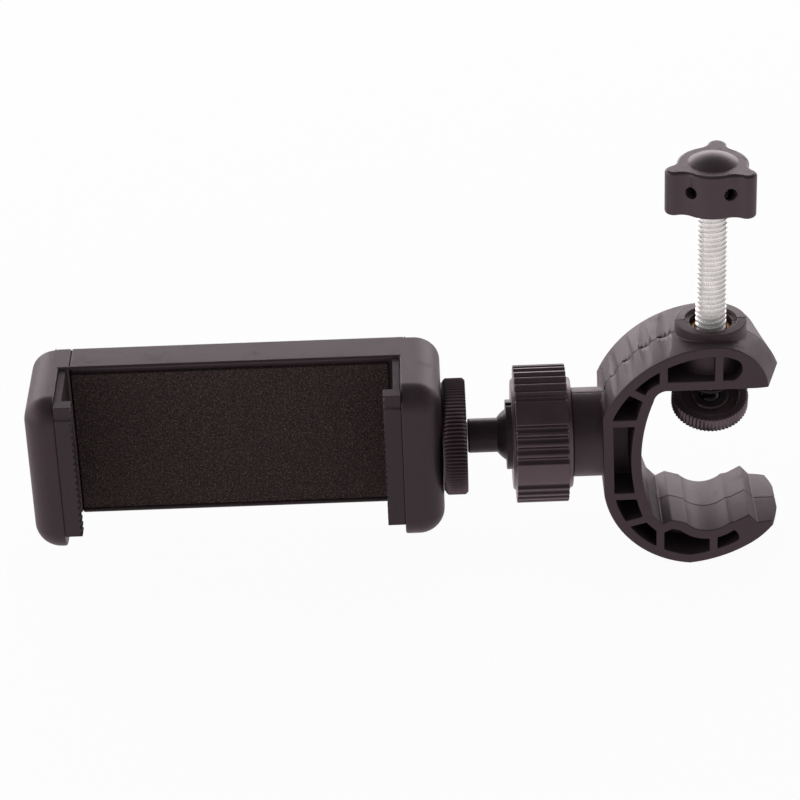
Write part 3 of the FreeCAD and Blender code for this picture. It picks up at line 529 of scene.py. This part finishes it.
class MOUNT_OT_clamp(bpy.types.Operator):
    """Clamp moulding with its ribs, boss and brass insert"""

    bl_idname = "mount.clamp"
    bl_label = "Clamp"

    def execute(self, context):
        bm = cad_copy("clamp_body")
        nose = {vert for vert in bm.verts if vert.co.x > NOSE_TIP_X * MM and vert.co.z < 0}
        round_edges(bm, sizes().edge / 2, kept=[edge for edge in bm.edges if nose.issuperset(edge.verts)])
        cut_seam(bm, sizes().seam, SEAM_HALF * MM)
        add_piece("clamp_moulding", bm, "clamp", "clamp_plastic", ["clamp_body"], "clamp_seamed_painted_shade")
        rounded_copy("clamp_insert", "clamp", "brass", sizes().edge)
        dress_node("ball_seat", "stud_plastic")
        return {"FINISHED"}


def knurled_disc():
    """Lock disc with a fine knurl round its rim and a raised face towards the jaw."""
    left, right = (corner.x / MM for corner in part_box("lock_disc"))
    rim, bevel, bore, hub = DISC_R, DISC_BEVEL, STUD_R + STUD_GAP, left - DISC_HUB_T
    foot = rim - DISC_HUB_IN
    stations = [(hub, bore), (hub, foot - 0.1), (left, foot), (left, rim - bevel)]
    stations += [(left + bevel, rim)]
    stations += [(left + bevel + i * (right - left - 2 * bevel) / 4, rim) for i in range(1, 4)]
    stations += [(right - bevel, rim), (right, rim - bevel), (right, bore), (hub, bore)]
    bm = lathe(stations, X_AXIS, Z_AXIS, DISC_KNURLS * 4)
    flute(bm, X_AXIS, Z_AXIS, DISC_KNURLS, DISC_KNURL_DEPTH, rim - 0.2, shape=0.7)
    return bm


def fluted_collar():
    """Lock collar with its flutes pressed deeper, so that its ridges stand out crisply."""
    bm = cad_copy("lock_collar")
    for vert in bm.verts:
        radial = Vector((0, vert.co.y, vert.co.z))
        sunk = COLLAR_R * MM - radial.length
        if COLLAR_FLUTE[0] * MM < sunk < COLLAR_FLUTE[1] * MM:
            vert.co -= radial.normalized() * sunk * COLLAR_DEEPER
    round_edges(bm, sizes().fine_edge * 1.5, 2)
    return bm


class MOUNT_OT_head(bpy.types.Operator):
    """Fluted lock collar, split ring, ball stud and knurled lock disc"""

    bl_idname = "mount.head"
    bl_label = "Ball head"

    def execute(self, context):
        add_piece("lock_collar_shell", fluted_collar(), "collar", "clamp_plastic", ["lock_collar"],
                  "head_plastic_painted_light")
        rounded_copy("grip_ring", "grip", "stud_plastic", sizes().fine_edge, 2)
        rounded_copy("ball_stud", "ball", "stud_plastic", sizes().fine_edge, 2)
        add_piece("knurled_disc", knurled_disc(), "disc", "clamp_plastic", ["lock_disc"], "disc_plastic_painted_light")
        dress_node("threaded_stud", "zinc_steel")
        return {"FINISHED"}


def screw_thread(pitch):
    """Helical surface of the clamp screw, from below its shoulder to inside the knob."""
    turns = math.ceil((THREAD_HIGH_Z - THREAD_LOW_Z) * MM / pitch) + 2
    root = (THREAD_R - THREAD_DEPTH) * MM
    crest = THREAD_R * MM
    start = THREAD_LOW_Z * MM - pitch
    # Radius and share of one pitch
    section = [(root, 0.0), (crest, 0.30), (crest, 0.56), (root, 0.86), (root, 1.0)]
    bm = bmesh.new()
    verts = [bm.verts.new((radius, 0, start + share * pitch)) for radius, share in section]
    edges = [bm.edges.new(pair) for pair in zip(verts, verts[1:])]
    bmesh.ops.spin(bm, geom=verts + edges, cent=(0, 0, 0), axis=Z_AXIS,
                   dvec=(0, 0, pitch / THREAD_STEPS), angle=math.tau * turns,
                   steps=THREAD_STEPS * turns, use_merge=False)
    bmesh.ops.remove_doubles(bm, verts=bm.verts, dist=0.004 * MM)
    for height, normal in ((THREAD_LOW_Z, -Z_AXIS), (THREAD_HIGH_Z, Z_AXIS)):
        whole = bm.verts[:] + bm.edges[:] + bm.faces[:]
        bmesh.ops.bisect_plane(bm, geom=whole, plane_co=Z_AXIS * height * MM, plane_no=normal,
                               clear_outer=True)
    bmesh.ops.holes_fill(bm, edges=[e for e in bm.edges if e.is_boundary], sides=0)
    bmesh.ops.recalc_face_normals(bm, faces=bm.faces)
    return bm


class MOUNT_OT_screw(bpy.types.Operator):
    """Zinc plated clamp screw with its thread, ball tip and washer"""

    bl_idname = "mount.screw"
    bl_label = "Clamp screw"

    def execute(self, context):
        add_piece("screw_thread", screw_thread(sizes().pitch), "screw", "zinc_steel", ["clamp_screw"])
        ball = [(TIP_BALL_Z + TIP_BALL_R * math.sin(turn), TIP_BALL_R * math.cos(turn))
                for turn in [math.radians(-90 + 7.5 * i) for i in range(21)]]
        tip = [(height, radius) for height, radius in ball if height < TIP_BALL_Z or radius > TIP_NECK_R]
        neck_top = THREAD_LOW_Z + TIP_NECK_IN
        tip += [(tip[-1][0], TIP_NECK_R), (neck_top, TIP_NECK_R), (neck_top, 0)]
        # The zinc screw's ball tip is painted near-black as shade
        add_piece("screw_tip", lathe(tip, Z_AXIS, X_AXIS, 48), "screw", "zinc_steel", material="tip_steel_painted_shade")
        rounded_copy("tip_washer", "carriage", "stud_plastic", sizes().fine_edge, 2)
        return {"FINISHED"}


class MOUNT_OT_knob(bpy.types.Operator):
    """Three-lobe knob with its small round holes"""

    bl_idname = "mount.knob"
    bl_label = "Knob"

    def execute(self, context):
        rounded_copy("knob", "screw", "knob_plastic", sizes().fine_edge, 2)
        return {"FINISHED"}


def ribbed_pad():
    """Dished pressure pad with upright ribs round its rim, tilted on the ball tip."""
    top = TIP_BALL_Z + PAD_TOP_ABOVE_BALL
    low = top - PAD_H
    floor = top - PAD_DISH_DEPTH
    rim, bevel, bore = PAD_R, PAD_BEVEL, PAD_SOCKET_R
    ring, (inner, outer) = floor + PAD_RING_H, PAD_RING_R
    stations = [(low, 0), (low, rim - bevel - 0.15), (low + bevel * 0.5, rim - 0.08), (low + bevel, rim)]
    stations += [(low + PAD_H * 0.5, rim), (top - bevel, rim), (top - bevel * 0.4, rim - 0.08)]
    stations += [(top, rim - bevel - 0.15), (top, PAD_DISH_R + 0.15), (top - 0.15, PAD_DISH_R)]
    stations += [(floor, PAD_DISH_R - 0.05), (floor, outer), (ring - 0.15, outer - 0.1)]
    stations += [(ring, outer - 0.25), (ring, inner), (floor, inner), (floor, bore)]
    for step in range(6):
        turn = math.radians(15 * step)
        stations.append((TIP_BALL_Z - bore * math.sin(turn), bore * math.cos(turn)))
    stations.append((TIP_BALL_Z - bore, 0))
    bm = lathe(stations, Z_AXIS, X_AXIS, PAD_RIBS * 4)
    flute(bm, Z_AXIS, X_AXIS, PAD_RIBS, PAD_RIB_DEPTH, rim - 0.1)
    bmesh.ops.rotate(bm, verts=bm.verts, cent=Z_AXIS * TIP_BALL_Z * MM,
                     matrix=Matrix.Rotation(math.radians(PAD_TILT), 3, "X"))
    return bm


class MOUNT_OT_pad(bpy.types.Operator):
    """Ribbed pressure pad and the ring that keeps it on the ball tip"""

    bl_idname = "mount.pad"
    bl_label = "Pressure pad"

    def execute(self, context):
        add_piece("ribbed_pad", ribbed_pad(), "pad", "clamp_plastic", ["pressure_pad"], "head_plastic_painted_light")
        dress_node("pad_retainer", "stud_plastic")
        return {"FINISHED"}


class MOUNT_OT_clip(bpy.types.Operator):
    """Clip frame with its fixed jaw, back cover and cover screws"""

    bl_idname = "mount.clip"
    bl_label = "Clip frame"

    def execute(self, context):
        rounded_copy("clip_frame", "clip", "clip_plastic", sizes().edge)
        rounded_copy("clip_back_cover", "clip", "clip_plastic", sizes().fine_edge, 2)
        rounded_copy("cover_screws", "clip", "zinc_steel", sizes().fine_edge, 2)
        dress_node("stud_insert", "brass")
        dress_node("frame_spring_pins", "zinc_steel")
        return {"FINISHED"}


class MOUNT_OT_jaw(bpy.types.Operator):
    """Sliding jaw with its tongue and spring pins"""

    bl_idname = "mount.jaw"
    bl_label = "Sliding jaw"

    def execute(self, context):
        rounded_copy("sliding_jaw", "jaw", "clip_plastic", sizes().edge)
        dress_node("jaw_spring_pins", "zinc_steel")
        return {"FINISHED"}


class MOUNT_OT_pads(bpy.types.Operator):
    """Toothed rubber pads of both jaws and the speckled foam back pad"""

    bl_idname = "mount.pads"
    bl_label = "Jaw pads and foam"

    def execute(self, context):
        rounded_copy("fixed_jaw_pad", "clip", "jaw_rubber", sizes().fine_edge, 2)
        rounded_copy("sliding_jaw_pad", "jaw", "jaw_rubber", sizes().fine_edge, 2)
        foam = rounded_copy("back_pad", "clip", "foam", sizes().fine_edge, 2)
        return {"FINISHED"}


class MOUNT_OT_springs(bpy.types.Operator):
    """Two extension springs that close the jaw"""

    bl_idname = "mount.springs"
    bl_label = "Springs"

    def execute(self, context):
        coils = sizes().coils
        steps = COIL_STEPS * coils
        for name in ("upper", "lower"):
            corners = [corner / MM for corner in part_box("jaw_spring_" + name)]
            middle = (corners[0] + corners[1]) / 2
            ends = [Vector((x, middle.y, middle.z)) for x in (corners[0].x + LOOP_R, corners[1].x - LOOP_R)]
            low, high = ends[0].x + HOOK_L, ends[1].x - HOOK_L
            bm = bmesh.new()
            centre = Vector((low, middle.y, middle.z)) * MM
            ring = bmesh.ops.create_circle(bm, segments=WIRE_SIDES, radius=WIRE_R * MM)["verts"]
            bmesh.ops.translate(bm, verts=ring, vec=centre + Y_AXIS * COIL_R * MM)
            bmesh.ops.spin(bm, geom=ring + bm.edges[:], cent=centre, axis=X_AXIS,
                           dvec=X_AXIS * ((high - low) * MM / steps), angle=math.tau * coils,
                           steps=steps, use_merge=False)
            bmesh.ops.recalc_face_normals(bm, faces=bm.faces)
            piece = add_piece("jaw_spring_coil_" + name, bm, None, "spring_steel", ["jaw_spring_" + name])
            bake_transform(piece)
        return {"FINISHED"}


class MOUNT_OT_stage(bpy.types.Operator):
    """White floor, studio light and the camera at the photograph's angle"""

    bl_idname = "mount.stage"
    bl_label = "Stage"

    def execute(self, context):
        scene = context.scene
        scene.view_settings.view_transform = "Standard"
        make_floor()
        make_world(scene)
        make_lamps(scene)
        make_camera(scene)
        return {"FINISHED"}


def background_rays(tree):
    """Empties a node tree; gives whether a ray is glossy and whether it sees the background in full."""
    tree.nodes.clear()
    camera = Wire(tree, tree.nodes.new("ShaderNodeLightPath").outputs["Is Camera Ray"])
    glossy = Wire(tree, camera.socket.node.outputs["Is Glossy Ray"])
    through = Wire(tree, camera.socket.node.outputs["Is Transmission Ray"])
    return glossy, camera.maths("ADD", camera + glossy, through, clamp=True)


def make_floor():
    """White paper under the mount, which keeps its shadow."""
    bm = bmesh.new()
    bmesh.ops.create_grid(bm, x_segments=1, y_segments=1, size=FLOOR_SIZE)
    bmesh.ops.translate(bm, verts=bm.verts, vec=(0, 0, CAD_BOX[0].z - 0.01 * MM))
    mesh = bpy.data.meshes.new("floor")
    bm.to_mesh(mesh)
    bm.free()
    floor = bpy.data.objects.new("floor", mesh)
    bpy.context.scene.collection.objects.link(floor)
    material = bpy.data.materials.new("floor_white")
    material.use_nodes = True
    glossy, seen = background_rays(material.node_tree)
    paper = seen.node("ShaderNodeBsdfDiffuse", None, {"Color": (FLOOR_GREY, FLOOR_GREY, FLOOR_GREY, 1)})
    tint = glossy.blend((1, 1, 1), STUDIO_TINT)
    glow = seen.node("ShaderNodeEmission", None, {"Color": tint, "Strength": 1.0})
    mixed = seen.node("ShaderNodeMixShader", None, {0: seen * FLOOR_GLOW, 1: paper, 2: glow})
    seen.node("ShaderNodeOutputMaterial", None, {"Surface": mixed})
    mesh.materials.append(material)


def make_world(scene):
    """White background, and the sky that lights the mount and that its surfaces mirror."""
    world = bpy.data.worlds.new("studio")
    scene.world = world
    world.use_nodes = True
    glossy, seen = background_rays(world.node_tree)
    ahead = seen.node("ShaderNodeTexCoord", None, None, "Generated")
    facing = ahead.node("ShaderNodeVectorMath", {"operation": "DOT_PRODUCT"}, {0: ahead, 1: DARK_SIDE}, 1)
    lit = ahead.part("Z").between(*SKY_BAND) * (1 - SKY_HIGH) + SKY_HIGH
    lit = lit * (1.0 - facing.between(*SIDE_BAND) * SIDE_LOSS)
    mirrored = glossy.blend((1, 1, 1), lit.blend((0, 0, 0), STUDIO_TINT))
    level = seen.blend((SKY_LEVEL, SKY_LEVEL, SKY_LEVEL), mirrored)
    sky = seen.node("ShaderNodeBackground", None, {"Color": level, "Strength": 1.0})
    seen.node("ShaderNodeOutputWorld", None, {"Surface": sky})


def make_lamps(scene):
    """Soft boxes that face the middle of the mount."""
    for name, place, width, height, power in LAMPS:
        light = bpy.data.lights.new(name, "AREA")
        light.shape = "RECTANGLE"
        light.size = width
        light.size_y = height
        light.energy = power
        light.color = [(1 + share) / 2 for share in STUDIO_TINT]
        lamp = bpy.data.objects.new(name, light)
        scene.collection.objects.link(lamp)
        lamp.location = place
        aim = CAMERA_TARGET - Vector(place)
        lamp.rotation_mode = "QUATERNION"
        lamp.rotation_quaternion = aim.to_track_quat("-Z", "Y")


def make_camera(scene):
    """Camera at the photograph's angle."""
    data = bpy.data.cameras.new("camera")
    data.lens = CAMERA_LENS
    data.sensor_width = SENSOR_WIDTH
    data.clip_start = 0.01
    data.clip_end = 20
    camera = bpy.data.objects.new("camera", data)
    scene.collection.objects.link(camera)
    ahead = Vector((math.sin(CAMERA_YAW) * math.cos(CAMERA_PITCH),
                    math.cos(CAMERA_YAW) * math.cos(CAMERA_PITCH), -math.sin(CAMERA_PITCH)))
    right = Vector((math.cos(CAMERA_YAW), -math.sin(CAMERA_YAW), 0))
    above = right.cross(ahead)
    across = right * math.cos(CAMERA_ROLL) - above * math.sin(CAMERA_ROLL)
    upward = right * math.sin(CAMERA_ROLL) + above * math.cos(CAMERA_ROLL)
    turn = Matrix((across, upward, -ahead)).transposed().to_4x4()
    camera.matrix_world = Matrix.Translation(CAMERA_TARGET - ahead * CAMERA_DISTANCE) @ turn
    scene.camera = camera


class MOUNT_PT_panel(bpy.types.Panel):
    """Lists the mount's pieces and their settings"""

    bl_idname = "MOUNT_PT_panel"
    bl_label = "Phone Clip Mount"
    bl_space_type = "VIEW_3D"
    bl_region_type = "UI"
    bl_category = "Mount"

    def draw(self, context):
        for operator in OPERATORS:
            self.layout.operator(operator.bl_idname)
        for group in (context.scene.mount_sizes, context.scene.mount_colours):
            for name in group.__annotations__:
                self.layout.prop(group, name)


OPERATORS = (
    MOUNT_OT_clamp, MOUNT_OT_head, MOUNT_OT_screw, MOUNT_OT_knob, MOUNT_OT_pad,
    MOUNT_OT_clip, MOUNT_OT_jaw, MOUNT_OT_pads, MOUNT_OT_springs, MOUNT_OT_stage,
)
CLASSES = (MountColours, MountSizes, *OPERATORS, MOUNT_PT_panel)


def register():
    """Adds the operators, the panel and the settings to Blender."""
    for cls in CLASSES:
        bpy.utils.register_class(cls)
    bpy.types.Scene.mount_colours = bpy.props.PointerProperty(type=MountColours)
    bpy.types.Scene.mount_sizes = bpy.props.PointerProperty(type=MountSizes)


def unregister():
    """Takes them out again."""
    del bpy.types.Scene.mount_sizes
    del bpy.types.Scene.mount_colours
    for cls in reversed(CLASSES):
        bpy.utils.unregister_class(cls)


def main():
    """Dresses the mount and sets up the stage."""
    register()
    make_materials()
    for operator in OPERATORS:
        group, name = operator.bl_idname.split(".")
        getattr(getattr(bpy.ops, group), name)()


if __name__ == "__main__":
    main()
